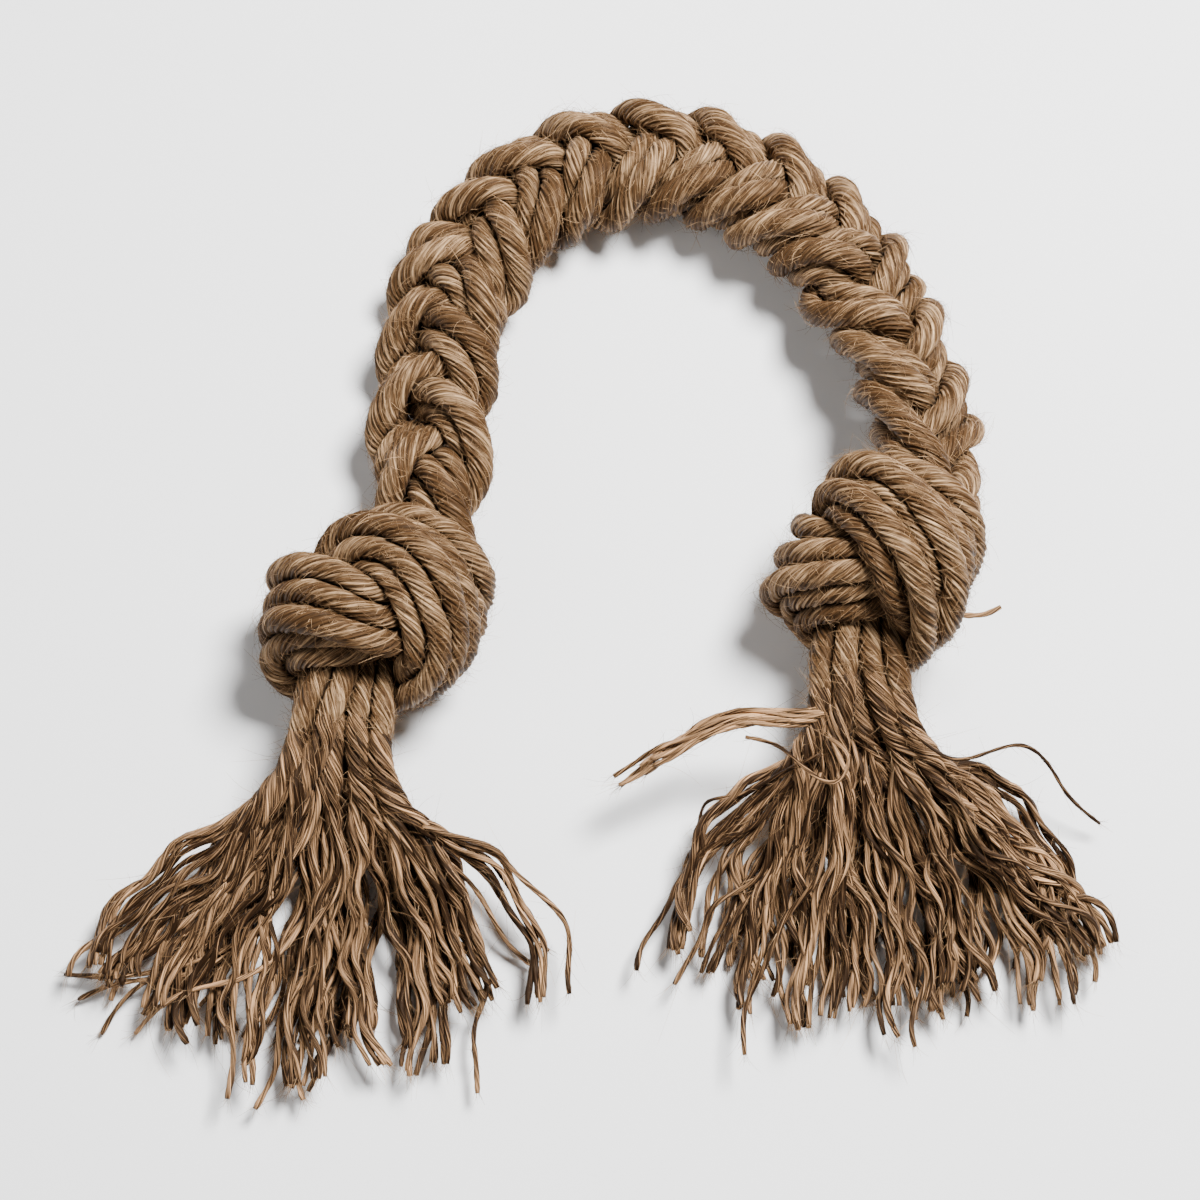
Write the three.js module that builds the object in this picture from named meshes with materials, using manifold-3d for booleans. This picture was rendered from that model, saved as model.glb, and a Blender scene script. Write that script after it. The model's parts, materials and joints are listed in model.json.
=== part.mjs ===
// Rope dog toy, lying on a table: nine jute cords plaited in three strands of three, tied in an
// overhand knot at each end and frayed into a tassel beyond each knot.
// Millimetres, +Z up, the crown of the arch towards +Y and the tassels towards -Y.
import * as THREE from 'three';
import Module from 'manifold-3d';

const wasm = await Module();
wasm.setup();

// Cord
const STRANDS = 3;
const CORDS_PER_STRAND = 3;
const CORDS = STRANDS * CORDS_PER_STRAND;
const PLAIT_CORD = 6.7; // thickness of an 8 mm jute cord squeezed in the plait
const KNOT_CORD = 6.4; // the same cord drawn tight in a knot
const CORD_CLEARANCE = 0.4; // between cords that press on each other
const CORD_SIDES = 5;
const KNOT_STEP = 5.2; // along the bundle in a knot

// Plait
const PLAIT_STEP = 4.4; // along the plait, whose cords run steeply
const PLAIT_PERIOD = 57.6; // length in which a strand crosses to the far edge and back
const PLAIT_SWING = 9.5; // of a strand's centre, to each side
const PLAIT_RISE = 7.5; // of a strand's centre, above and below
const PLAIT_LINGER = 0.2; // strands linger on the arch's inner side and hurry over the outer one
const LEFT_LEAN = 12; // degrees that the plait's face leans out of the arch, at its left end
const RIGHT_LEAN = 34; // and at its right end
const STRAND_LAG = 0.45; // radians of the period between neighbouring cords of a strand
const ARCH = [
  [-50, 29, 27], [-51, 46, 23], [-51, 63, 20], [-49, 83, 18], [-43, 104, 16], [-31, 122, 15], [-11, 137, 15],
  [15, 143, 15], [45, 135, 15], [66, 120, 16], [79, 102, 18], [89, 82, 20], [95, 62, 23], [97, 46, 27],
];
const CROWN_X = 14; // where the two halves of the plait meet
const CROWN_CLEARANCE = 0.3;

// Overhand knot, from the plait to the tassel, about its own centre
const KNOT = [
  [17, 18, -2], [16, 2, -1], [13, -10, 8], [2, -6, 19], [-14, 2, 20], [-28, 6, 8], [-27, 4, -10], [-14, -6, -20],
  [4, -17, -20], [19, -20, -8], [29, -10, 8], [28, 8, 16], [16, 20, 18], [0, 22, 12], [-10, 14, 2], [-9, 0, -2],
];
const NECK_WINDING = 20; // length over which the plait's cords gather for the knot

// Tassel
const NECK_TOP_ROW = 5;
const NECK_PITCH = 6.6; // between cords side by side in the neck
const NECK_LAYER = 3.2; // of each row above or below the neck's middle
const SWING_RADIUS = 20; // from the tassel's pivot to the ends of the knot's cords
const SWING_CLEARANCE = 0.4;
const NECK_INSET = 9; // of the cords' ends past the pivot's far edge
const NECK_RUN = 15; // straight stretch in which the bundle leaves the knot
const TUFT_THICKNESS = 7;
const TUFT_SIDES = 6;
const TUFT_RINGS = 6;
const TUFT_START = 22; // length of cord before it spreads
const TUFT_HANG = 34; // length in which a tuft still hangs straight out of the neck
const TUFT_FALL = 52; // and in which it comes down to the table
const TUFT_CLEARANCE = 0.6;
const LAYER_CLEARANCE = 0.6; // between the upper and the lower tufts
const FLAT_DEPTH = 0.6; // flattened off whatever lies on the table

// The knots differ: each has its own centre, roll about Y and share of length along Y
const LEFT = {
  name: 'left',
  knot: [-69, -6, 25.5],
  roll: 0,
  length: 1.15,
  neck: [-77, -57, 25],
  top: [[-143, -103], [-123, -124], [-92, -138], [-58, -134], [-30, -117]],
  bottom: [[-128, -106], [-102, -128], [-70, -128], [-44, -108]],
};
const RIGHT = {
  name: 'right',
  knot: [81, 8, 28],
  roll: -0.6,
  length: 1.35,
  neck: [76, -44, 25],
  top: [[32, -106], [57, -123], [89, -123], [120, -116], [145, -96]],
  bottom: [[46, -104], [72, -116], [105, -114], [130, -97]],
};

const JUTE = { color: 0x9c7b55, roughness: 0.95, metalness: 0 };
const FRAYED_JUTE = { color: 0x94714b, roughness: 0.97, metalness: 0 };

const smooth = (x) => THREE.MathUtils.smoothstep(x, 0, 1);
const point = (p) => new THREE.Vector3(...p);

// The line that the whole bundle follows, from the left neck to the right neck
function knotRoute(side) {
  const turn = new THREE.Matrix4().makeRotationY(side.roll).scale(new THREE.Vector3(1, side.length, 1));
  const turns = KNOT.map((p) => point(p).applyMatrix4(turn).add(point(side.knot)));
  const neck = point(side.neck);
  const exit = neck.clone().add(new THREE.Vector3(0, NECK_RUN, 0));
  return [...turns, exit, neck];
}
const leftRoute = knotRoute(LEFT).reverse();
const routePoints = [...leftRoute, ...ARCH.map(point), ...knotRoute(RIGHT)];
const route = new THREE.CatmullRomCurve3(routePoints, false, 'centripetal');
route.arcLengthDivisions = 100 * (routePoints.length - 1);
const routeLengths = route.getLengths();
const routeLength = route.getLength();
const plaitStart = routeLengths[100 * leftRoute.length];
const plaitEnd = routeLengths[100 * (leftRoute.length + ARCH.length - 1)];
const plaitMiddle = (plaitStart + plaitEnd) / 2;

// Stations along the bundle
const stations = [0];
while (stations.at(-1) < routeLength - KNOT_STEP) {
  const s = stations.at(-1);
  const inPlait = s > plaitStart && s < plaitEnd;
  stations.push(s + (inPlait ? PLAIT_STEP : KNOT_STEP));
}
stations.push(routeLength);
let count = stations.length;
let firstPlait = stations.findIndex((s) => s >= plaitStart);
let lastPlait = stations.findLastIndex((s) => s <= plaitEnd);
const routeAt = stations.map((s) => route.getPointAt(s / routeLength));
const along = stations.map((s) => route.getTangentAt(s / routeLength));

// Across and up at each station: tied to the table in the plait and carried on through the knots
const across = [];
const up = [];
for (let i = firstPlait; i <= lastPlait; i++) {
  const outward = new THREE.Vector3(0, 0, 1).cross(along[i]).normalize();
  const lean = THREE.MathUtils.mapLinear(stations[i], plaitStart, plaitEnd, LEFT_LEAN, RIGHT_LEAN);
  across[i] = outward.applyAxisAngle(along[i], -THREE.MathUtils.degToRad(lean));
  up[i] = along[i].clone().cross(across[i]);
}
function carry(from, to) {
  const bend = new THREE.Quaternion().setFromUnitVectors(along[from], along[to]);
  across[to] = across[from].clone().applyQuaternion(bend);
  up[to] = up[from].clone().applyQuaternion(bend);
}
for (let i = firstPlait; i > 0; i--) carry(i, i - 1);
for (let i = lastPlait; i < count - 1; i++) carry(i, i + 1);

// Where a cord lies in the plait's section: strands swing in a figure of eight, with the middle cord
// of each strand raised between the other two
function plaitOffset(cord, s) {
  const strand = cord % STRANDS;
  const place = Math.floor(cord / STRANDS) - 1;
  const turn = 2 * Math.PI * ((s - plaitStart) / PLAIT_PERIOD + strand / STRANDS) + STRAND_LAG * place;
  const phase = turn - PLAIT_LINGER * Math.sin(turn + Math.PI / 4);
  const swing = PLAIT_SWING * Math.sin(phase);
  const rise = -PLAIT_RISE * Math.sin(2 * phase);
  const heading = new THREE.Vector2(
    PLAIT_SWING * Math.cos(phase),
    -2 * PLAIT_RISE * Math.cos(2 * phase),
  ).normalize();
  const lift = (place === 0 ? 0.62 : -0.31) * PLAIT_CORD;
  return new THREE.Vector2(swing - lift * heading.y, rise + lift * heading.x);
}
// Three rows of three, in the order that the cords leave the plait
function gathered(s) {
  const cords = Array.from({ length: CORDS }, (_, cord) => ({ cord, at: plaitOffset(cord, s) }));
  cords.sort((a, b) => a.at.x - b.at.x);
  const places = [];
  for (let column = 0; column < 3; column++) {
    const row = cords.slice(3 * column, 3 * column + 3).sort((a, b) => a.at.y - b.at.y);
    row.forEach((c, n) => {
      places[c.cord] = new THREE.Vector2(column - 1, n - 1).multiplyScalar(KNOT_CORD);
    });
  }
  return places;
}
const leftGather = gathered(plaitStart);
const rightGather = gathered(plaitEnd);

// Cords as points, three numbers each, cord after cord
let X = new Float64Array(CORDS * count * 3);
const slot = (cord, i) => 3 * (cord * count + i);
const pointAt = (cord, i) => new THREE.Vector3().fromArray(X, slot(cord, i));
for (let cord = 0; cord < CORDS; cord++) {
  for (let i = 0; i < count; i++) {
    const s = stations[i];
    const plaited = plaitOffset(cord, THREE.MathUtils.clamp(s, plaitStart, plaitEnd));
    const bunched = s < plaitMiddle ? leftGather[cord] : rightGather[cord];
    const inside = Math.min(s - plaitStart, plaitEnd - s);
    const offset = bunched.clone().lerp(plaited, smooth(inside / NECK_WINDING + 0.5));
    const p = routeAt[i].clone().addScaledVector(across[i], offset.x).addScaledVector(up[i], offset.y);
    p.toArray(X, slot(cord, i));
  }
}

// In each neck the cords lie side by side, five over four
function layNeck(i, side) {
  const order = Array.from({ length: CORDS }, (_, cord) => cord);
  order.sort((a, b) => X[slot(b, i) + 2] - X[slot(a, i) + 2]);
  const rows = [order.slice(0, NECK_TOP_ROW), order.slice(NECK_TOP_ROW)];
  rows.forEach((row, lower) => {
    row.sort((a, b) => X[slot(a, i)] - X[slot(b, i)]);
    row.forEach((cord, n) => {
      const x = side.neck[0] + (n - (row.length - 1) / 2) * NECK_PITCH;
      const z = side.neck[2] + (lower ? -NECK_LAYER : NECK_LAYER);
      X.set([x, side.neck[1], z], slot(cord, i));
    });
  });
  return rows;
}
const leftRows = layNeck(0, LEFT);
const rightRows = layNeck(count - 1, RIGHT);

let thickness = stations.map((s) => {
  const inside = Math.min(s - plaitStart, plaitEnd - s);
  return THREE.MathUtils.lerp(KNOT_CORD, PLAIT_CORD, smooth(inside / NECK_WINDING + 0.5));
});

// Settling: the cords are drawn tight, rest on the table and push each other apart
const SETTLE_ROUNDS = 220;
const START_THICKNESS = 0.55; // share of the thickness that cords have at first
const PLAIT_PULL = 0.15;
const KNOT_PULL = 0.3;
const REACH = 2 * KNOT_STEP + PLAIT_CORD;
const NECK_STATIONS = 8; // that run down into the neck

// Nearest approach of two steps of cord
function approach(a, b, out) {
  const ax = X[a + 3] - X[a];
  const ay = X[a + 4] - X[a + 1];
  const az = X[a + 5] - X[a + 2];
  const bx = X[b + 3] - X[b];
  const by = X[b + 4] - X[b + 1];
  const bz = X[b + 5] - X[b + 2];
  const rx = X[a] - X[b];
  const ry = X[a + 1] - X[b + 1];
  const rz = X[a + 2] - X[b + 2];
  const aa = ax * ax + ay * ay + az * az;
  const bb = bx * bx + by * by + bz * bz;
  const ab = ax * bx + ay * by + az * bz;
  const ar = ax * rx + ay * ry + az * rz;
  const br = bx * rx + by * ry + bz * rz;
  const spread = aa * bb - ab * ab;
  let s = spread > 1e-9 ? Math.min(1, Math.max(0, (ab * br - ar * bb) / spread)) : 0.5;
  let t = (ab * s + br) / bb;
  if (t < 0 || t > 1) {
    t = t < 0 ? 0 : 1;
    s = Math.min(1, Math.max(0, (t * ab - ar) / aa));
  }
  out.s = s;
  out.t = t;
  out.x = rx + ax * s - bx * t;
  out.y = ry + ay * s - by * t;
  out.z = rz + az * s - bz * t;
  out.gap = Math.hypot(out.x, out.y, out.z);
}

// Pairs of steps that are near enough to touch, but not next to each other on one cord
function neighbours() {
  const cells = new Map();
  const pairs = [];
  for (let cord = 0; cord < CORDS; cord++) {
    for (let i = 0; i < count - 1; i++) {
      const a = slot(cord, i);
      const cell = [0, 1, 2].map((e) => Math.floor((X[a + e] + X[a + e + 3]) / 2 / REACH) + 100);
      for (let n = 0; n < 27; n++) {
        const near = [(n % 3) - 1, (Math.floor(n / 3) % 3) - 1, Math.floor(n / 9) - 1];
        const key = 40000 * (cell[0] + near[0]) + 200 * (cell[1] + near[1]) + cell[2] + near[2];
        for (const other of cells.get(key) ?? []) {
          if (other.cord !== cord || i - other.i > 3) pairs.push([a, other.a, i, other.i]);
        }
      }
      const key = 40000 * cell[0] + 200 * cell[1] + cell[2];
      if (!cells.has(key)) cells.set(key, []);
      cells.get(key).push({ cord, i, a });
    }
  }
  return pairs;
}

function shift(at, i, by, share) {
  if (i === 0 || i === count - 1) return;
  X[at] += by.x * share;
  X[at + 1] += by.y * share;
  X[at + 2] += by.z * share;
}
function pushApart(pairs, grown, gain) {
  const near = {};
  let worst = 0;
  for (const [a, b, i, j] of pairs) {
    approach(a, b, near);
    const need = (grown * (thickness[i] + thickness[j])) / 2;
    if (near.gap >= need || near.gap < 1e-6) continue;
    worst = Math.max(worst, need - near.gap);
    const push = (gain * 0.5 * (need - near.gap)) / near.gap;
    const { s, t } = near;
    const onA = push / ((1 - s) * (1 - s) + s * s);
    const onB = -push / ((1 - t) * (1 - t) + t * t);
    shift(a, i, near, onA * (1 - s));
    shift(a + 3, i + 1, near, onA * s);
    shift(b, j, near, onB * (1 - t));
    shift(b + 3, j + 1, near, onB * t);
  }
  return worst;
}
function drawTight() {
  const before = X.slice();
  for (let cord = 0; cord < CORDS; cord++) {
    for (let i = 1; i < count - 1; i++) {
      const pull = i >= firstPlait && i <= lastPlait ? PLAIT_PULL : KNOT_PULL;
      for (let e = slot(cord, i); e < slot(cord, i) + 3; e++) {
        X[e] += pull * ((before[e - 3] + before[e + 3]) / 2 - before[e]);
      }
    }
  }
}
// The plait keeps to its arch
function keepArch(gain) {
  for (let i = firstPlait - 3; i <= lastPlait + 3; i++) {
    for (let e = 0; e < 3; e++) {
      let middle = 0;
      for (let cord = 0; cord < CORDS; cord++) middle += X[slot(cord, i) + e] / CORDS;
      const back = gain * (routeAt[i].getComponent(e) - middle);
      for (let cord = 0; cord < CORDS; cord++) X[slot(cord, i) + e] += back;
    }
  }
}
function layOnTable() {
  for (let cord = 0; cord < CORDS; cord++) {
    for (let i = 1; i < count - 1; i++) {
      const z = slot(cord, i) + 2;
      X[z] = Math.max(X[z], thickness[i] / 2 - FLAT_DEPTH);
    }
  }
}
// The knot's turns keep out of the room in which the tassel swings
function keepOffTassel(side, from, to) {
  const room = SWING_RADIUS + SWING_CLEARANCE + KNOT_CORD / 2;
  for (let cord = 0; cord < CORDS; cord++) {
    for (let i = from; i <= to; i++) {
      const a = slot(cord, i);
      const x = X[a] - side.neck[0];
      const y = X[a + 1] - side.neck[1] + NECK_INSET;
      const gap = Math.hypot(x, y);
      if (gap >= room) continue;
      X[a] += (x * (room - gap)) / gap;
      X[a + 1] += (y * (room - gap)) / gap;
    }
  }
}
function keepOut(neckStations) {
  keepOffTassel(LEFT, neckStations, firstPlait);
  keepOffTassel(RIGHT, lastPlait, count - 1 - neckStations);
}
let pairs = [];
for (let round = 0; round < SETTLE_ROUNDS; round++) {
  const grown = Math.min(1, START_THICKNESS + (1 - START_THICKNESS) * (round / SETTLE_ROUNDS) * 1.35);
  if (round % 4 === 0) pairs = neighbours();
  drawTight();
  for (let n = 0; n < 3; n++) pushApart(pairs, grown, 0.7);
  keepArch(0.3);
  layOnTable();
  keepOut(NECK_STATIONS);
}

// A ring of every cord stands at each station of the plait and at every second one of a knot
const rings = [];
for (let i = 0; i < count; i++) {
  const inPlait = i >= firstPlait && i <= lastPlait;
  const inKnot = i < firstPlait ? (firstPlait - i) % 2 === 0 : (i - lastPlait) % 2 === 0;
  if (inPlait || inKnot || i === 0 || i === count - 1) rings.push(i);
}
const settled = X;
const settledSlot = (cord, i) => 3 * (cord * stations.length + i);
X = new Float64Array(CORDS * rings.length * 3);
count = rings.length;
for (let cord = 0; cord < CORDS; cord++) {
  rings.forEach((i, n) => {
    const from = settledSlot(cord, i);
    X.set(settled.subarray(from, from + 3), slot(cord, n));
  });
}
thickness = rings.map((i) => thickness[i]);
firstPlait = rings.indexOf(firstPlait);
lastPlait = rings.indexOf(lastPlait);
let worst = 1;
for (let n = 0; n < 500 && worst > 0.02; n++) {
  if (n % 10 === 0) pairs = neighbours();
  worst = pushApart(pairs, 1, 0.9);
  layOnTable();
  keepOut(NECK_STATIONS / 2);
}
console.log(`cords settled, deepest press ${worst.toFixed(3)} mm`);

// Closed sweep of rings, each a list of points, with a fan over each end
function sweep(rings) {
  const sides = rings[0].length;
  const vertices = rings.flat();
  const middle = (ring) => ring.reduce((sum, p) => sum.add(p), new THREE.Vector3()).divideScalar(sides);
  vertices.push(middle(rings[0]), middle(rings.at(-1)));
  const index = [];
  for (let n = 0; n < sides; n++) {
    const m = (n + 1) % sides;
    for (let r = 0; r < rings.length - 1; r++) {
      const a = r * sides;
      const b = a + sides;
      index.push(a + n, a + m, b + n, a + m, b + m, b + n);
    }
    const last = (rings.length - 1) * sides;
    index.push(vertices.length - 2, m, n, vertices.length - 1, last + n, last + m);
  }
  const geometry = new THREE.BufferGeometry();
  geometry.setAttribute('position', new THREE.Float32BufferAttribute(vertices.flatMap((p) => p.toArray()), 3));
  geometry.setIndex(index);
  return geometry;
}

// A cord's solid between two stations
function cordSweep(cord, from, to) {
  const line = [];
  const heading = [];
  for (let i = from; i <= to; i++) {
    const before = pointAt(cord, Math.max(0, i - 1));
    const after = pointAt(cord, Math.min(count - 1, i + 1));
    line.push(pointAt(cord, i));
    heading.push(after.sub(before).normalize());
  }
  const back = 0.4 * CORD_CLEARANCE;
  line[0].addScaledVector(heading[0], back);
  line.at(-1).addScaledVector(heading.at(-1), -back);
  let side = new THREE.Vector3(0, 0, 1).cross(heading[0]).normalize();
  const rings = line.map((p, n) => {
    side = side.clone().addScaledVector(heading[n], -side.dot(heading[n])).normalize();
    const rise = heading[n].clone().cross(side);
    const radius = (thickness[from + n] - CORD_CLEARANCE) / 2;
    return Array.from({ length: CORD_SIDES }, (_, k) => {
      const turn = (2 * Math.PI * k) / CORD_SIDES;
      return p.clone().addScaledVector(side, radius * Math.cos(turn)).addScaledVector(rise, radius * Math.sin(turn));
    });
  });
  return sweep(rings);
}

// A frayed end: a cord that spreads into a flat tuft
function tuftLine(root, tip, layer) {
  const rest = layer === 'top' ? 1.5 * TUFT_THICKNESS + LAYER_CLEARANCE : 0.5 * TUFT_THICKNESS;
  const low = new THREE.Vector3(tip[0], tip[1], rest - FLAT_DEPTH);
  const out = new THREE.Vector3(root.x, root.y - TUFT_HANG, root.z);
  const down = new THREE.Vector3(root.x + 0.45 * (tip[0] - root.x), root.y - TUFT_FALL, rest - FLAT_DEPTH);
  const curve = new THREE.CubicBezierCurve3(root, out, down, low);
  return curve.getPoints(TUFT_RINGS - 1);
}
function tuftSweeps(side, rows) {
  const tufts = [];
  ['top', 'bottom'].forEach((layer, lower) => {
    const pitch = NECK_PITCH;
    const lines = rows[lower].map((cord, n) => {
      const x = side.neck[0] + (n - (rows[lower].length - 1) / 2) * pitch;
      const z = side.neck[2] + (lower ? -NECK_LAYER : NECK_LAYER);
      const root = new THREE.Vector3(x, side.neck[1] + SWING_RADIUS - NECK_INSET + 3, z);
      return tuftLine(root, side[layer][n], layer);
    });
    lines.forEach((line, n) => {
      const beside = [lines[n - 1], lines[n + 1]].filter(Boolean);
      const rings = line.map((p, r) => {
        const before = line[Math.max(0, r - 1)];
        const after = line[Math.min(line.length - 1, r + 1)];
        const heading = after.clone().sub(before).normalize();
        const wide = new THREE.Vector3(0, 0, 1).cross(heading).normalize();
        const high = heading.clone().cross(wide);
        const room = Math.min(...beside.map((other) => Math.min(...other.map((q) => q.distanceTo(p)))));
        const f = smooth((line[0].y - p.y - TUFT_START) / TUFT_START);
        const halfHigh = THREE.MathUtils.lerp(KNOT_CORD - CORD_CLEARANCE, TUFT_THICKNESS, f) / 2;
        const halfWide = THREE.MathUtils.lerp(halfHigh, (room - TUFT_CLEARANCE) / 2, f);
        return Array.from({ length: TUFT_SIDES }, (_, k) => {
          const turn = (2 * Math.PI * (k + 0.5)) / TUFT_SIDES;
          const grow = 1 / Math.cos(Math.PI / TUFT_SIDES);
          return p
            .clone()
            .addScaledVector(wide, halfWide * Math.cos(turn))
            .addScaledVector(high, halfHigh * Math.sin(turn) * THREE.MathUtils.lerp(1, grow, f));
        });
      });
      tufts.push({ cord: rows[lower][n], geometry: sweep(rings) });
    });
  });
  return tufts;
}

// Cuts
function solid(geometry) {
  const mesh = new wasm.Mesh({
    numProp: 3,
    vertProperties: new Float32Array(geometry.attributes.position.array),
    triVerts: new Uint32Array(geometry.index.array),
  });
  return new wasm.Manifold(mesh);
}
function faces(body) {
  const mesh = body.getMesh();
  const geometry = new THREE.BufferGeometry();
  geometry.setAttribute('position', new THREE.BufferAttribute(mesh.vertProperties, 3));
  geometry.setIndex(new THREE.BufferAttribute(mesh.triVerts, 1));
  return geometry;
}
const SPAN = 1000;
const block = (x, y, z) => wasm.Manifold.cube([SPAN, SPAN, SPAN]).translate([x, y, z]);
const table = block(-SPAN / 2, -SPAN / 2, -SPAN);
const leftOfCrown = block(CROWN_X - CROWN_CLEARANCE / 2 - SPAN, -SPAN / 2, -SPAN / 2);
const rightOfCrown = block(CROWN_X + CROWN_CLEARANCE / 2, -SPAN / 2, -SPAN / 2);
function pivotPost(side, radius) {
  const post = wasm.Manifold.cylinder(SPAN, radius, radius, 72, true);
  return post.translate([side.neck[0], side.neck[1] - NECK_INSET, 0]);
}

const toy = new THREE.Group();
const letters = ['a', 'b', 'c'];
const cordName = (cord) => `${letters[cord % STRANDS]}${Math.floor(cord / STRANDS) + 1}`;
function add(name, body, look) {
  const mesh = new THREE.Mesh(faces(body.subtract(table)), new THREE.MeshStandardMaterial(look));
  mesh.name = name;
  toy.add(mesh);
}
// Where a cord turns back at the crown, the cut may shave a sliver off it
function largest(body) {
  return body.decompose().reduce((a, b) => (a.volume() > b.volume() ? a : b));
}
function addSide(side, rows, knotFrom, knotTo, half) {
  const opening = pivotPost(side, SWING_RADIUS + SWING_CLEARANCE / 2);
  const aboveNeck = block(-SPAN / 2, side.neck[1] - NECK_INSET, -SPAN / 2);
  const reserved = aboveNeck.subtract(pivotPost(side, SWING_RADIUS - SWING_CLEARANCE / 2));
  for (let cord = 0; cord < CORDS; cord++) {
    const plait = solid(cordSweep(cord, firstPlait, lastPlait));
    add(`${side.name}_plait_cord_${cordName(cord)}`, largest(plait.intersect(half)), JUTE);
  }
  for (let cord = 0; cord < CORDS; cord++) {
    const knotted = solid(cordSweep(cord, knotFrom, knotTo));
    add(`${side.name}_knot_cord_${cordName(cord)}`, knotted.subtract(opening), JUTE);
  }
  for (const { cord, geometry } of tuftSweeps(side, rows)) {
    add(`${side.name}_frayed_end_${cordName(cord)}`, solid(geometry).subtract(reserved), FRAYED_JUTE);
  }
}
addSide(LEFT, leftRows, 0, firstPlait, leftOfCrown);
addSide(RIGHT, rightRows, lastPlait, count - 1, rightOfCrown);

// The origin lies on the table, under the middle of the toy
const box = new THREE.Box3().setFromObject(toy);
const middle = box.getCenter(new THREE.Vector3());
toy.position.set(-middle.x, -middle.y, -box.min.z);
const part = new THREE.Group();
part.add(toy);

export default part;
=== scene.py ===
"""Rope dog toy of natural jute: nine laid cords, plaited, knotted at both ends and frayed into two tassels.

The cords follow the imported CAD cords. Lengths are in millimetres until a mesh is made. A set of waves is given
by its size, how many waves it has and the length of the longest.
"""
import heapq
import json
import math

import bpy
import numpy as np
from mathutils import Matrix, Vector, kdtree


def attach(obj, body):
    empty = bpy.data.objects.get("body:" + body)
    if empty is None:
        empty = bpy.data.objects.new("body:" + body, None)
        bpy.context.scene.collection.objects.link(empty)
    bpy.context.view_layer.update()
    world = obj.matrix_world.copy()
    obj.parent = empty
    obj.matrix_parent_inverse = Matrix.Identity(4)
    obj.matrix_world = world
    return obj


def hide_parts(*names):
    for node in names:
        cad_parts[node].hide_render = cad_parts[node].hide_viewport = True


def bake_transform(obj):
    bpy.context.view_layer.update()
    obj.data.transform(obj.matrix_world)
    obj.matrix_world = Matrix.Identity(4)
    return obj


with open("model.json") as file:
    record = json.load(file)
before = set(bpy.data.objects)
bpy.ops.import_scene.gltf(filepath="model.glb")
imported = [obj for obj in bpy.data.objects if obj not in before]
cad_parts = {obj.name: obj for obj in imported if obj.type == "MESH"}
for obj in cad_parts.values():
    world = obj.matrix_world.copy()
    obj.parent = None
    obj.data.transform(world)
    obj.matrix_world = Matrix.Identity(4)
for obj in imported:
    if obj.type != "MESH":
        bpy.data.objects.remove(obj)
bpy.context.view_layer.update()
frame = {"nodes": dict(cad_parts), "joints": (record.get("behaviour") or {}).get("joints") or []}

MM = 0.001
TURN = 2 * math.pi
CORDS = [strand + number for number in "123" for strand in "abc"]
SIDES = ("left", "right")

# Laid cord
CORD_DIAMETER = 8.0  # before it is squeezed
YARNS = 13  # round a cord
YARN_COLUMNS = 5  # of the mesh, across each yarn
LAY_PITCH = 30.0  # along the cord, for one turn of its yarns
LAY_WAVES = (0.06, 4, 48.0)  # in the yarns' turning
GROOVE_DEPTH = 0.46
RIDGE_CURVE = 0.9  # of a yarn's back, from 0 for flat to 1 for round
RIDGE_WAVES = (0.13, 5, 30.0)  # in the yarns' heights
RIDGE_SPREAD = 0.10  # of those heights
RIDGE_PAINTED_SHADE = 0.72  # painted shade in the grooves between a cord's yarns, against the painted shade between cords
SQUEEZE_GAP = 0.12  # left between cords that press on each other
RING_STEP = 1.0
END_THIN = 0.62  # thickness of a cord's end, inside its tassel
END_RUN = 7.0
CORD_FLOOR = 0.05  # height of its lowest skin over the table
LEAST_TINT = 0.12
YARN_TINT = 0.55  # between a cord's yarns
CORD_TINT = 0.25  # between cords
TINT_WAVES = (0.10, 3, 45.0)

# Yarns
YARN_RADIUS = 0.88
YARN_SIDES = 8
YARN_STEP = 1.6
YARN_PITCH = 30.0
YARN_LUMPS = ((0.09, 4, 21.0), (0.06, 3, 6.0))  # waves in its thickness
YARN_LOBES = ((0.035, 2, 0.0), (0.03, 3, 1.0))  # size, number and turn of the humps round it
YARN_FADE = (0.12, 3, 30.0)  # waves in its shade
YARN_FLOOR = 0.1  # height of its lowest skin over the table
LAID_THIN = 0.78  # thickness of a tassel's yarn where it is still laid
LAID_HOLD = 0.4  # share of that run before it thickens
CUT_THIN = 0.8  # thickness at the cut end
CUT_RUN = 1.5

# Tassels
CORE_YARNS = 7  # inside a cord
YARN_LEVELS = 42  # points along a yarn
ROOT_RINGS = 9  # of the cord, in which its yarns start
ROOT_POINTS = 3  # of a yarn, in there
ROOT_TAPER = 0.12
TIP_RUN = 16.0  # along a CAD tuft, for its far end
TIP_DEPTH = 9.0
TUFT_STRAIGHT = 20.0  # run of a tuft before it spreads
TUFT_BEND = 46.0
TUFT_SPREAD = 0.9  # share of its way aside that a tuft has come at the bend
TUFT_LOW = 6.0
LAID_RUN = 11.0  # that stays laid below a knot
UNLAY_RUN = 34.0
UNLAID = 0.8  # share of the lay's turn that is lost
CORE_RING = 1.3  # from the cord's axis to its inner yarns
FREE_RING = 2.8  # from a tuft's axis to the yarns, once they leave the cord
FREE_CORE_RING = 1.2
FREE_RUN = 25.0
RING_LOSS = 0.9  # share of those rings that is lost in the locks

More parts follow.
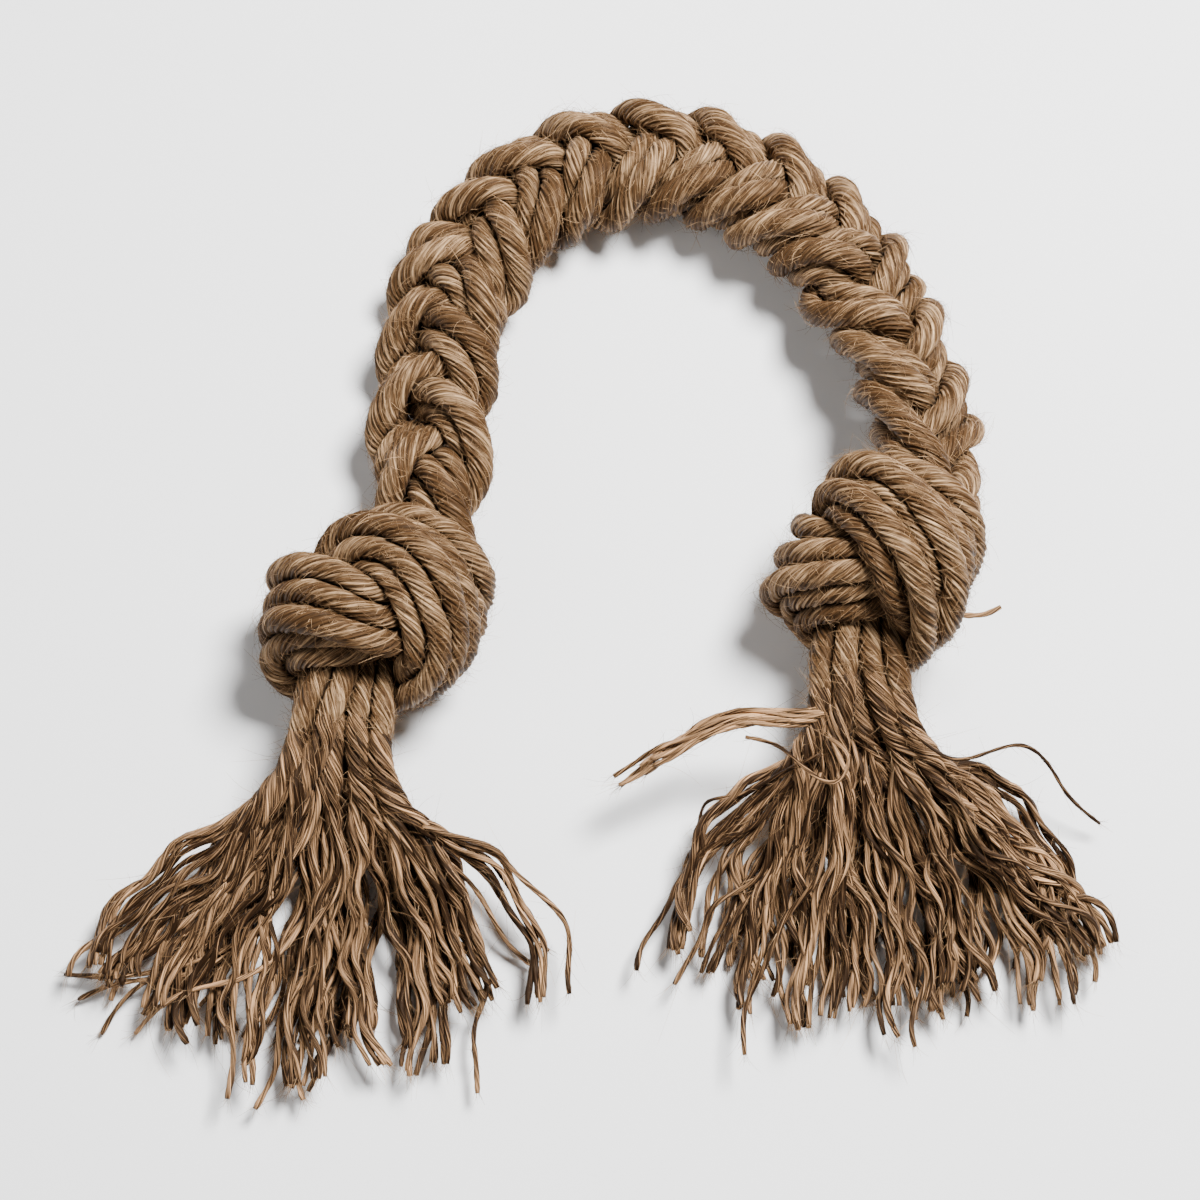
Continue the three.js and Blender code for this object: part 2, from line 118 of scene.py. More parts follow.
# Locks, the groups that a frayed cord's yarns fall into
LOCKS = 5
LOCK_START = 0.4  # share of the unlaying, at which a lock's place is found
LOCK_SHUFFLE = 0.35
LOCK_PLACE = (0.2, 0.8)  # in its share of the tuft's width
LOCK_RISE = 0.6
RISE_HEIGHT = 3.4
LOCK_WAVE = 23.0  # length of the wave that the lay leaves in a lock
WAVE_RATIO = (0.85, 1.3)
WAVE_DEPTH = (0.7, 2.0)
WAVE_LIFT = 0.5  # height of the wave, against its depth
WAVE_START = 20.0
WAVE_RUN = 26.0
PHASE_SPREAD = 0.25
LOCK_SWAY = 80.0  # length of its slow bend
SWAY_RATIO = (0.8, 1.3)
SWAY_DEPTH = 2.6
LOCK_LENGTH = (0.95, 1.035)
SHORT_LENGTH = (0.89, 0.94)
SHORT_SHARE = 0.08  # of the locks
SPREAD_POWER = 1.2
ROW_PITCH = 1.3  # between a lock's yarns
ROW_STAGGER = 0.7
YARN_WAVES = (0.6, 3, 36.0)  # of each yarn by itself
YARN_LENGTH = (0.985, 1.015)
APART_SPREAD = 1.6  # of the yarns' ends in a lock
APART_START = 25.0
APART_RUN = 70.0

# Yarns that leave their lock
STRAY_SHARE = 0.12
STRAY_AWAY = (4, 10)
STRAY_START = 30.0
STRAY_RUN = 60.0
STRAY_WAVE = 1.2
STRAY_WAVE_LENGTH = (22, 40)
STRAY_RISE = (0, 4)
STRAY_LENGTH = (1.0, 1.09)

# Settling of the yarns
SETTLE_ROUNDS = 40
SETTLE_PUSH = 0.28
SETTLE_EASE = 0.03
HELD_LEVELS = 9  # that stay where they are
HELD_FADE = 8
LEAST_GAP = 1e-3

# Tassels as they are built
TUFT_RADII = (0.82, 1.16)  # of the yarns, against the usual radius
TUFT_LEAST_TINT = 0.1
TUFT_TINT = 0.85

# Stray fibres
FIBRE_RADIUS = 0.06
FIBRE_POINTS = 5
FIBRE_SIDES = 3
FIBRE_TAPER = 0.65
FIBRE_FLOOR = 0.15  # height over the table
LEAST_FIBRE = 2.0
CORD_FIBRES = 2600  # on each cord
CORD_FIBRE_LENGTHS = (2.0, 1.3)  # shape and scale of their spread
LONGEST_FIBRE = 9.0
OPEN_COVER = 0.3  # of a cord's skin by its neighbours, over which it has no fibres
FIBRE_TURN = 0.75  # spread of their headings about the yarn's
FIBRE_LIFTS = (1.6, 0.08)
MOST_LIFT = 0.4
CORD_CURL = 0.20
CORD_ROOT = 0.1  # depth of their roots
YARN_FIBRES = 6000  # on each tassel
YARN_FIBRE_LENGTHS = (2.0, 1.6)
YARN_FIBRE_LEAN = (0.1, 0.8)
YARN_CURL = 0.35
YARN_ROOT = 0.9  # of the yarn's radius
BRUSH_FIBRES = 9  # at each cut end
BRUSH_LENGTHS = (2.0, 1.1)
BRUSH_LEAN = (0.0, 0.55)
BRUSH_CURL = 0.22
BRUSH_ROOT = (0.1, 0.55)  # of the yarn's radius
BRUSH_DEPTH = 1.2

# Loose yarns that stand away from the tassels and the right knot
STRAY_BUNCH = [
    (80, -43, 12), (73, -45, 18), (65, -47, 26), (56, -50, 33), (39, -50, 35), (24, -55, 31), (3, -67, 25),
]
BUNCH_YARNS = 8
BUNCH_RADIUS = 2.3
BUNCH_STEP = 4.0
BUNCH_PITCH = 95.0
BUNCH_TURN = (0.25, 3, 40.0)  # waves in its turn
BUNCH_SWELL = (0.15, 3, 45.0)  # waves in its radius
BUNCH_RINGS = [0.45, 0.9, 1.0]
BUNCH_FLATNESS = 0.8
BUNCH_CUT = 5  # most points by which a yarn of the bunch is shorter
BUNCH_THIN = 0.85  # of the usual yarn radius
BUNCH_TINTS = (0.8, 1.4)
STRAY_YARNS = {
    "right": {
        "loop": [(40, -55, 31), (49, -58, 33), (57, -65, 34), (66, -69, 36), (69, -62, 36), (64, -56, 34)],
        "dark_left": [(62, -60, 31), (48, -66, 26), (38, -70, 20), (29, -71, 14), (27, -77, 8), (23, -89, 2)],
        "dark_right": [
            (84, -50, 33), (90, -56, 34), (99, -62, 34), (109, -60, 32), (121, -57, 28), (129, -62, 22),
            (134, -68, 16), (145, -76, 8),
        ],
    },
    "left": {
        "pale": [
            (-84, -96, 8), (-94, -114, 12), (-104, -122, 15), (-117, -125, 13), (-128, -129, 9), (-137, -137, 3),
        ],
        "low_a": [(-88, -88, 13), (-102, -108, 12), (-122, -118, 11), (-144, -121, 8), (-158, -120, 5)],
        "low_b": [(-92, -92, 10), (-106, -112, 10), (-124, -121, 9), (-143, -123, 6), (-154, -127, 3)],
        "low_c": [(-98, -94, 8), (-116, -112, 8), (-132, -121, 7), (-142, -129, 4), (-147, -137, 2)],
        "out_a": [
            (-67, -60, 22), (-57, -75, 21), (-47, -84, 19), (-36, -92, 15), (-25, -107, 9), (-17, -113, 5),
        ],
        "out_b": [
            (-67, -63, 20), (-58, -79, 19), (-46, -89, 16), (-37, -98, 12), (-29, -111, 7), (-22, -117, 3),
        ],
    },
}
STRAY_THIN = {"right": 0.65, "left": 0.85}  # of the usual yarn radius
STRAY_TINTS = {"dark": 0.3, "pale": 1.2}  # by the start of the name
STRAY_TINT = 0.75
KNOT_STRAY = [(92, -20, 34), (103, -20, 36), (110, -20, 38), (114, -18, 38)]
KNOT_STRAY_THIN = 0.9
KNOT_STRAY_TINT = 0.9

# Camera: the photograph's steep view
CAMERA_ELEVATION = 75.0
CAMERA_DISTANCE = 900.0
CAMERA_TARGET = (-2.0, -11.1, 20.0)
CAMERA_WIDTH = 355.0  # seen at the target
SENSOR = 36.0

rng = np.random.default_rng(20)


# Numbers
FINE_POINTS = 8  # for each point that a curve is drawn through
FEWEST_POINTS = 4  # of a curve at even steps
FRAME_START = (0.3, 0.2, 1.0)  # along no curve's first heading
WAVE_STEP = 0.8  # by which the waves of a set grow shorter


def smooth(x):
    x = np.clip(x, 0, 1)
    return x * x * (3 - 2 * x)


def unit(v):
    return v / np.maximum(np.linalg.norm(v, axis=-1, keepdims=True), 1e-12)


def spline(points, step):
    """A natural cubic through the points, at even steps: distances along it, points and headings."""
    points = np.asarray(points, float)
    knots = np.r_[0, np.cumsum(np.linalg.norm(np.diff(points, axis=0), axis=1))]
    n = len(points)
    h = np.diff(knots)
    matrix = np.eye(n)
    right = np.zeros((n, 3))
    slope = np.diff(points, axis=0) / h[:, None]
    for i in range(1, n - 1):
        matrix[i, i - 1 : i + 2] = h[i - 1], 2 * (h[i - 1] + h[i]), h[i]
        right[i] = 6 * (slope[i] - slope[i - 1])
    curve = np.linalg.solve(matrix, right)

    def at(t):
        i = np.clip(np.searchsorted(knots, t, side="right") - 1, 0, n - 2)
        a = ((knots[i + 1] - t) / h[i])[:, None]
        b = 1 - a
        bend = ((a**3 - a) * curve[i] + (b**3 - b) * curve[i + 1]) * (h[i] ** 2)[:, None] / 6
        return a * points[i] + b * points[i + 1] + bend

    places = np.linspace(0, knots[-1], FINE_POINTS * n)
    fine = at(places)
    run = np.r_[0, np.cumsum(np.linalg.norm(np.diff(fine, axis=0), axis=1))]
    count = max(FEWEST_POINTS, int(round(run[-1] / step)) + 1)
    s = np.linspace(0, run[-1], count)
    line = at(np.interp(s, run, places))
    return s, line, unit(np.gradient(line, axis=0))


def carried_frame(heading):
    """Two directions square to a line, carried along it without turning about it."""
    across = np.empty_like(heading)
    across[0] = unit(np.cross(heading[0], FRAME_START))
    for i in range(1, len(heading)):
        v = across[i - 1] - heading[i] * (across[i - 1] @ heading[i])
        across[i] = v / np.linalg.norm(v)
    return across, np.cross(heading, across)


def wander(count, run, size, waves, longest):
    """A set of slow random waves: count rows of it, over the distances in run."""
    out = np.zeros((count, len(run)))
    for k in range(waves):
        length = longest / (1 + WAVE_STEP * k)
        shift = rng.random((count, 1)) * TURN
        out += np.sin(TURN * run[None] / length + shift) / (1 + k)
    return size * out


# Centrelines of the CAD cords
def surface(node):
    """A CAD node's corners, in millimetres, and its triangles."""
    mesh = frame["nodes"][node].data
    co = np.empty(3 * len(mesh.vertices), np.float32)
    mesh.vertices.foreach_get("co", co)
    mesh.calc_loop_triangles()
    triangles = np.empty(3 * len(mesh.loop_triangles), np.int32)
    mesh.loop_triangles.foreach_get("vertices", triangles)
    corners, where = np.unique(np.round(co.reshape(-1, 3) / MM, 3), axis=0, return_inverse=True)
    return corners, where.ravel()[triangles.reshape(-1, 3)]


def distances(links, start, count):
    """Shortest way along the links from the start to every corner."""
    ways = [[] for _ in range(count)]
    for a, b, length in links:
        ways[a].append((b, length))
        ways[b].append((a, length))
    far = np.full(count, np.inf)
    far[start] = 0
    queue = [(0.0, start)]
    while queue:
        d, a = heapq.heappop(queue)
        if d > far[a]:
            continue
        for b, length in ways[a]:
            if d + length < far[b]:
                far[b] = d + length
                heapq.heappush(queue, (far[b], b))
    return far


CAD_APOTHEM = 2.49  # from a CAD cord's axis to its sides
CAD_STRETCH = 5.5  # of a CAD cord, that gives one point of its axis
CAD_PARTS = ("left_knot", "left_plait", "right_plait", "right_knot")  # of a cord, in order
JOIN_SLACK = 0.04  # past the narrowest gap between two parts, within which corners are joined
CUT_SLACK = 0.25  # to each side of the crown, for the faces of the cut there
LEAST_AREA = 1e-3  # of a face that counts
CROWN = frame["joints"][0]["pos_m"][0] / MM


def cord_axis(cord):
    """Points along the axis of a CAD cord, from the left tassel to the right one."""
    nets = [surface(f"{part}_cord_{cord}") for part in CAD_PARTS]
    starts = np.cumsum([0] + [len(corners) for corners, _ in nets])
    corners = np.vstack([c for c, _ in nets])
    triangles = np.vstack([t + start for (_, t), start in zip(nets, starts)])
    links = []
    for a, b in ((0, 1), (1, 2), (2, 0)):
        length = np.linalg.norm(corners[triangles[:, a]] - corners[triangles[:, b]], axis=1)
        links += list(zip(triangles[:, a], triangles[:, b], length))
    for k in range(len(nets) - 1):
        gap = np.linalg.norm(nets[k][0][:, None] - nets[k + 1][0][None], axis=2)
        near = np.argwhere(gap < gap.min() + JOIN_SLACK)
        links += [(i + starts[k], j + starts[k + 1], gap[i, j]) for i, j in near]
    tassel, _ = surface(f"left_frayed_end_{cord}")
    gap = np.linalg.norm(nets[0][0][:, None] - tassel[None], axis=2).min(1)
    far = distances(links, int(gap.argmin()), len(corners))

    tri = corners[triangles]
    square = np.cross(tri[:, 1] - tri[:, 0], tri[:, 2] - tri[:, 0])
    area = np.linalg.norm(square, axis=1) / 2
    on_cut = (np.abs(tri[:, :, 0] - CROWN) < CUT_SLACK).all(1) | (area < LEAST_AREA)
    inner = (tri.mean(1) - CAD_APOTHEM * unit(square))[~on_cut]
    along = far[triangles].mean(1)[~on_cut]
    weight = area[~on_cut]
    stretch = (along / CAD_STRETCH).astype(int)
    axis = []
    for k in np.unique(stretch):
        here = stretch == k
        axis.append(np.average(inner[here], axis=0, weights=weight[here]))
    axis = np.array(axis)[1:-1]
    calm = axis.copy()
    calm[1:-1] = (axis[:-2] + 2 * axis[1:-1] + axis[2:]) / 4
    return calm


paths = {}
for cord in CORDS:
    s, line, heading = spline(cord_axis(cord), RING_STEP)
    paths[cord] = (s, line, heading, *carried_frame(heading))


# Squeezing: how far each cord reaches to every side before it meets its neighbours or the table
FIELD_STEP = 2  # rings
FIELD_TURNS = 36  # directions round a cord
COVER_REACH = 1.3  # from a neighbour's skin, within which a cord's own is in its shade
SOFTNESS = 6.0  # the lower, the rounder a squeezed cord stays
INNER_SWELL = 2.8  # of a cord, towards the rope's hollows
INNER_REACH = 16.0  # of the cords that say where the rope's middle is
MIDDLE_EASE = 3.0  # from that middle, within which the swelling fades
OWN_RUN = 14.0  # along a cord, past which it presses on itself too
LEAST_LEAN = 0.05  # of a direction, towards what a cord can meet there
LEAST_REACH = 1.2
NOTHING_NEAR = 99.0
field_angles = TURN * np.arange(FIELD_TURNS) / FIELD_TURNS

axis_tree = kdtree.KDTree(sum(len(paths[cord][0][::FIELD_STEP]) for cord in CORDS))
axis_points = []
for c, cord in enumerate(CORDS):
    for i in range(0, len(paths[cord][0]), FIELD_STEP):
        axis_tree.insert(paths[cord][1][i], len(axis_points))
        axis_points.append((c, paths[cord][0][i], paths[cord][1][i]))
axis_tree.balance()
axis_cord = np.array([p[0] for p in axis_points])
axis_run = np.array([p[1] for p in axis_points])
axis_at = np.array([p[2] for p in axis_points])


def eased(field):
    """A field with its steps and angles averaged with their neighbours."""
    for _ in range(2):
        field = (np.roll(field, 1, 1) + 2 * field + np.roll(field, -1, 1)) / 4
        padded = np.vstack([field[:1], field, field[-1:]])
        field = (padded[:-2] + 2 * padded[1:-1] + padded[2:]) / 4
    return field


def reach_field(cord):
    """Radius of a cord at each field step and angle, and how far its neighbours shade it there."""
    s, line, _, across, up = paths[cord]
    c = CORDS.index(cord)
    field, cover = [], []
    for i in range(0, len(s), FIELD_STEP):
        out = np.cos(field_angles)[:, None] * across[i] + np.sin(field_angles)[:, None] * up[i]
        near = np.array([k for _, k, _ in axis_tree.find_range(line[i], INNER_REACH)])
        inward = axis_at[near].mean(0) - line[i]
        inward = inward / max(np.linalg.norm(inward), MIDDLE_EASE)
        free = CORD_DIAMETER / 2 + INNER_SWELL * np.clip(out @ inward, 0, None)
        other = near[(axis_cord[near] != c) | (np.abs(axis_run[near] - s[i]) > OWN_RUN)]
        power = free**-SOFTNESS
        if len(other):
            to = axis_at[other] - line[i]
            lean = out @ to.T
            bound = (to * to).sum(1)[None] / np.maximum(2 * lean, 1e-6) - SQUEEZE_GAP / 2
            closest = np.where(lean > LEAST_LEAN, bound, NOTHING_NEAR).min(1)
            power += np.maximum(closest, LEAST_REACH) ** -SOFTNESS
        fall = -out[:, 2]
        table = np.where(fall > LEAST_LEAN, line[i][2] / np.maximum(fall, LEAST_LEAN), NOTHING_NEAR)
        power += np.maximum(table, LEAST_REACH) ** -SOFTNESS
        radius = power ** (-1 / SOFTNESS)
        beside = np.full(FIELD_TURNS, NOTHING_NEAR)
        if len(other):
            skin = line[i] + radius[:, None] * out
            beside = np.linalg.norm(skin[:, None] - axis_at[other][None], axis=2).min(1)
        field.append(radius)
        cover.append(smooth(1 - (beside - CORD_DIAMETER / 2) / COVER_REACH))
    return eased(np.array(field)), eased(np.array(cover))


def field_at(field, i, angle):
    """Radius at ring i (an array) and angle, between the field's samples."""
    row = np.clip(i / FIELD_STEP, 0, len(field) - 1.001)
    r0 = row.astype(int)
    fr = row - r0
    column = (angle / TURN * FIELD_TURNS) % FIELD_TURNS
    c0 = column.astype(int) % FIELD_TURNS
    c1 = (c0 + 1) % FIELD_TURNS
    fc = column - np.floor(column)
    low = field[r0, c0] * (1 - fc) + field[r0, c1] * fc
    high = field[r0 + 1, c0] * (1 - fc) + field[r0 + 1, c1] * fc
    return low * (1 - fr) + high * fr


# Meshes
class Pile:
    """Closed tubes that become one piece, with the lay's coordinates, a tint and a painted groove shade at each
    point.
    """

    def __init__(self):
        self.points, self.quads, self.caps, self.uv, self.cap_uv = [], [], [], [], []
        self.tint, self.groove = [], []
        self.count = 0

    def add(self, rings, u, v, tint, groove):
        """Tubes of one make: their rings, the distances along (u) and around (v) them, the tint and the painted
        groove shade.
        """
        count, n, m = rings.shape[:3]
        size = n * m + 2
        base = self.count + size * np.arange(count)[:, None, None]
        ends = rings[:, (0, -1)].mean(2)
        self.points.append(np.concatenate([rings.reshape(count, -1, 3), ends], 1).reshape(-1, 3))
        i, j = np.meshgrid(np.arange(n - 1), np.arange(m), indexing="ij")
        k = (j + 1) % m
        quad = np.stack([i * m + j, i * m + k, (i + 1) * m + k, (i + 1) * m + j], -1).reshape(-1, 4)
        self.quads.append((base + quad).reshape(-1, 4))
        vv = np.r_[v, v[0] + (v[-1] - v[0]) * m / max(m - 1, 1)]
        u = u + rng.uniform(0, 3, (count, 1))
        corner_u = u[:, np.stack([i, i, i + 1, i + 1], -1).ravel()]
        corner_v = vv[np.stack([j, j + 1, j + 1, j], -1).ravel()] + rng.uniform(0, 3, (count, 1))
        self.uv.append(np.stack([corner_u, corner_v], -1).reshape(-1, 2))
        around = np.arange(m)
        after = (around + 1) % m
        first = np.stack([np.full(m, n * m), after, around], 1)
        last = np.stack([np.full(m, n * m + 1), (n - 1) * m + around, (n - 1) * m + after], 1)
        self.caps.append((base + np.vstack([first, last])).reshape(-1, 3))
        cap_u = np.repeat(u[:, (0, -1)], 3 * m, axis=1)
        self.cap_uv.append(np.stack([cap_u, np.full_like(cap_u, v[0])], -1).reshape(-1, 2))
        for store, shade in ((self.tint, tint), (self.groove, groove)):
            shade = np.broadcast_to(shade, (count, n, m)).reshape(count, -1)
            store.append(np.concatenate([shade, shade[:, :1], shade[:, -1:]], 1).ravel())
        self.count += count * size

    def piece(self, name, material):
        quads, caps = np.vstack(self.quads), np.vstack(self.caps)
        corner = np.r_[quads.ravel(), caps.ravel()].astype(np.int32)
        sizes = np.r_[np.full(len(quads), 4), np.full(len(caps), 3)]
        mesh = bpy.data.meshes.new(name)
        mesh.vertices.add(self.count)
        mesh.vertices.foreach_set("co", (np.vstack(self.points) * MM).astype(np.float32).ravel())
        mesh.loops.add(len(corner))
        mesh.loops.foreach_set("vertex_index", corner)
        mesh.polygons.add(len(sizes))
        mesh.polygons.foreach_set("loop_start", np.r_[0, np.cumsum(sizes)[:-1]].astype(np.int32))
        mesh.update(calc_edges=True)
        mesh.polygons.foreach_set("use_smooth", np.ones(len(sizes), bool))
        lay = mesh.uv_layers.new(name="lay")
        lay.data.foreach_set("uv", np.vstack(self.uv + self.cap_uv).astype(np.float32).ravel())
        for shade, values in (("tint", self.tint), ("groove", self.groove)):
            attribute = mesh.attributes.new(shade, "FLOAT", "POINT")
            attribute.data.foreach_set("value", np.concatenate(values).astype(np.float32))
        mesh.update()
        mesh.materials.append(material)
        piece = bpy.data.objects.new(name, mesh)
        bpy.context.scene.collection.objects.link(piece)
        return piece


def yarn_tube(pile, line, heading, s, radius, tint, laid=0.0):
    """One yarn: a thin lumpy tube of twisted fibres with a blunt cut end."""
    across, up = carried_frame(heading)
    around = TURN * np.arange(YARN_SIDES) / YARN_SIDES
    lump = 1 + sum(wander(1, s, *waves)[0] for waves in YARN_LUMPS)
    if laid:
        lump *= LAID_THIN + (1 - LAID_THIN) * smooth((s / laid - LAID_HOLD) / (1 - LAID_HOLD))
    lump *= CUT_THIN + (1 - CUT_THIN) * smooth((s[-1] - s) / CUT_RUN)
    lobe = 1 + sum(size * np.cos(number * around + turn) for size, number, turn in YARN_LOBES)
    angle = around[None] - TURN * s[:, None] / YARN_PITCH
    r = radius * lump[:, None] * lobe
    rings = line[:, None] + r[..., None] * (
        np.cos(angle)[..., None] * across[:, None] + np.sin(angle)[..., None] * up[:, None]
    )
    rings[..., 2] = np.maximum(rings[..., 2], YARN_FLOOR)
    shade = tint + wander(1, s, *YARN_FADE)[0][:, None]
    pile.add(rings[None], s[None] * MM, around * radius * MM, shade, 0.0)


def fibre_tubes(pile, roots, towards, bends, lengths, tint):
    """Stray fibres: thin curved prisms that taper off."""
    t = np.linspace(0, 1, FIBRE_POINTS)[None, :, None]
    roots, towards, bends = (np.asarray(v)[:, None] for v in (roots, towards, bends))
    lengths = np.asarray(lengths)
    line = roots + lengths[:, None, None] * (t * towards + t * t * bends)
    line[..., 2] = np.maximum(line[..., 2], FIBRE_FLOOR)
    heading = unit(np.gradient(line, axis=1))
    across = unit(np.cross(heading, rng.normal(size=(len(line), 1, 3))))
    up = np.cross(heading, across)
    around = TURN * np.arange(FIBRE_SIDES) / FIBRE_SIDES
    r = FIBRE_RADIUS * (1 - FIBRE_TAPER * t)[..., None]
    rings = line[:, :, None] + r * (
        np.cos(around)[:, None] * across[:, :, None] + np.sin(around)[:, None] * up[:, :, None]
    )
    pile.add(rings, lengths[:, None] * t[..., 0] * MM, around * FIBRE_RADIUS * MM, tint[:, None, None], 0.0)


# Materials
COARSE_FIBRES = (1000, 1900, 3, 0.65)  # per metre along the lay (over the streak) and across it, detail, roughness
FINE_FIBRES = (2200, 3800, 2, 0.6)
COARSE_SHADE = 2.1
FINE_SHADE = 1.2
MEAN_FIBRES = 1.65  # what both come to on average
MEAN_SHADE = 0.24
CLOUD_SCALE = 28
CLOUD_DETAIL = 3
CLOUD_SHADE = 0.12
TINT_SHADE = 0.40
DARK_AT = 0.12
MIDDLE_AT = 0.5
LIGHT_AT = 0.88
GLINT = 1.7  # of the palest fibres, against the light shade
GLINT_LIMIT = 0.9
ROUGHNESS = 0.36
FIBRE_ROUGHNESS = 0.3
FINE_RELIEF = 0.6  # against the coarse fibres
RELIEF_DEPTH = 0.00035
SPECULAR = 0.12
SPECULAR_TINT = (1.0, 0.80, 0.62, 1)
SHEEN = 0.015
SHEEN_ROUGHNESS = 0.45
CORD_SHADES = (0.025, 0.0112, 0.0040), (0.082, 0.0408, 0.0165), (0.620, 0.395, 0.212)
# painted shade: the tassels' yarns are the cords' jute, and their far darker colours stand in for the shade among
# the yarns
YARN_SHADES_WITH_PAINTED_SHADE = (0.009, 0.0035, 0.0011), (0.0185, 0.0080, 0.0029), (0.410, 0.232, 0.115)
FIBRE_SHADES = (0.070, 0.034, 0.013), (0.190, 0.104, 0.046), (0.480, 0.305, 0.168)


def node(tree, kind, **values):
    made = tree.nodes.new(kind)
    for key, value in values.items():
        setattr(made, key, value)
    return made


def jute(name, dark, middle, light, painted_groove_shade, bump, streak, contrast):
    """Jute: fibres that run along the lay, paler and darker yarns, painted shade in the grooves and a soft sheen.
    """
    material = bpy.data.materials.new(name)
    material.use_nodes = True
    tree = material.node_tree
    link = tree.links.new
    shader = tree.nodes["Principled BSDF"]
    lay = node(tree, "ShaderNodeUVMap", uv_map="lay")
    tint = node(tree, "ShaderNodeAttribute", attribute_name="tint")
    groove = node(tree, "ShaderNodeAttribute", attribute_name="groove")

    def fibres(along, over, detail, rough):
        stretch = node(tree, "ShaderNodeMapping")
        stretch.inputs["Scale"].default_value = (along / streak, over, 1)
        link(lay.outputs["UV"], stretch.inputs["Vector"])
        noise = node(tree, "ShaderNodeTexNoise", noise_dimensions="2D")
        noise.inputs["Scale"].default_value = 1
        noise.inputs["Detail"].default_value = detail
        noise.inputs["Roughness"].default_value = rough
        link(stretch.outputs["Vector"], noise.inputs["Vector"])
        return noise.outputs["Fac"]

    coarse = fibres(*COARSE_FIBRES)
    fine = fibres(*FINE_FIBRES)
    place = node(tree, "ShaderNodeTexCoord")
    cloud = node(tree, "ShaderNodeTexNoise")
    cloud.inputs["Scale"].default_value = CLOUD_SCALE
    cloud.inputs["Detail"].default_value = CLOUD_DETAIL
    link(place.outputs["Object"], cloud.inputs["Vector"])

    def math_node(operation, a, b):
        made = node(tree, "ShaderNodeMath", operation=operation)
        for socket, value in zip(made.inputs, (a, b)):
            if isinstance(value, (int, float)):
                socket.default_value = value
            else:
                link(value, socket)
        return made.outputs["Value"]

    shade = math_node("MULTIPLY", coarse, COARSE_SHADE * contrast)
    shade = math_node("ADD", shade, MEAN_SHADE - MEAN_FIBRES * contrast)
    shade = math_node("ADD", shade, math_node("MULTIPLY", fine, FINE_SHADE * contrast))
    shade = math_node("ADD", shade, math_node("MULTIPLY", cloud.outputs["Fac"], CLOUD_SHADE))
    shade = math_node("ADD", shade, math_node("MULTIPLY", tint.outputs["Fac"], TINT_SHADE))
    ramp = node(tree, "ShaderNodeValToRGB")
    ramp.color_ramp.elements[0].position = DARK_AT
    ramp.color_ramp.elements[0].color = (*dark, 1)
    ramp.color_ramp.elements[1].position = 1.0
    ramp.color_ramp.elements[1].color = (*(min(GLINT_LIMIT, GLINT * part) for part in light), 1)
    ramp.color_ramp.elements.new(MIDDLE_AT).color = (*middle, 1)
    ramp.color_ramp.elements.new(LIGHT_AT).color = (*light, 1)
    link(shade, ramp.inputs["Fac"])
    # painted shade: the base colour is darkened in the grooves, by the square of the groove attribute
    deep = math_node("MULTIPLY", groove.outputs["Fac"], groove.outputs["Fac"])
    keep = math_node("SUBTRACT", 1.0, math_node("MULTIPLY", deep, painted_groove_shade))
    mix = node(tree, "ShaderNodeVectorMath", operation="SCALE")
    link(ramp.outputs["Color"], mix.inputs[0])
    link(keep, mix.inputs["Scale"])
    link(mix.outputs["Vector"], shader.inputs["Base Color"])
    rough = math_node("ADD", math_node("MULTIPLY", coarse, FIBRE_ROUGHNESS), ROUGHNESS)
    link(rough, shader.inputs["Roughness"])
    height = math_node("ADD", coarse, math_node("MULTIPLY", fine, FINE_RELIEF))
    relief = node(tree, "ShaderNodeBump")
    relief.inputs["Strength"].default_value = bump
    relief.inputs["Distance"].default_value = RELIEF_DEPTH
    link(height, relief.inputs["Height"])
    link(relief.outputs["Normal"], shader.inputs["Normal"])
    shader.inputs["Specular IOR Level"].default_value = SPECULAR
    shader.inputs["Specular Tint"].default_value = SPECULAR_TINT
    shader.inputs["Sheen Weight"].default_value = SHEEN
    shader.inputs["Sheen Roughness"].default_value = SHEEN_ROUGHNESS
    return material


cord_jute = jute("jute_cord", *CORD_SHADES, painted_groove_shade=0.90, bump=0.45, streak=7, contrast=0.42)
# painted shade: the yarns' material is the cords' jute made far darker
yarn_jute_with_painted_shade = jute("jute_yarn_with_painted_shade", *YARN_SHADES_WITH_PAINTED_SHADE, painted_groove_shade=0.0, bump=0.7, streak=34, contrast=0.75)
fibre_jute = jute("jute_fibre", *FIBRE_SHADES, painted_groove_shade=0.0, bump=0.1, streak=16, contrast=1.0)


# Cords, from neck to neck
lay_ends = {}  # of each cord: the angles of its yarns at both ends, and how far they reach


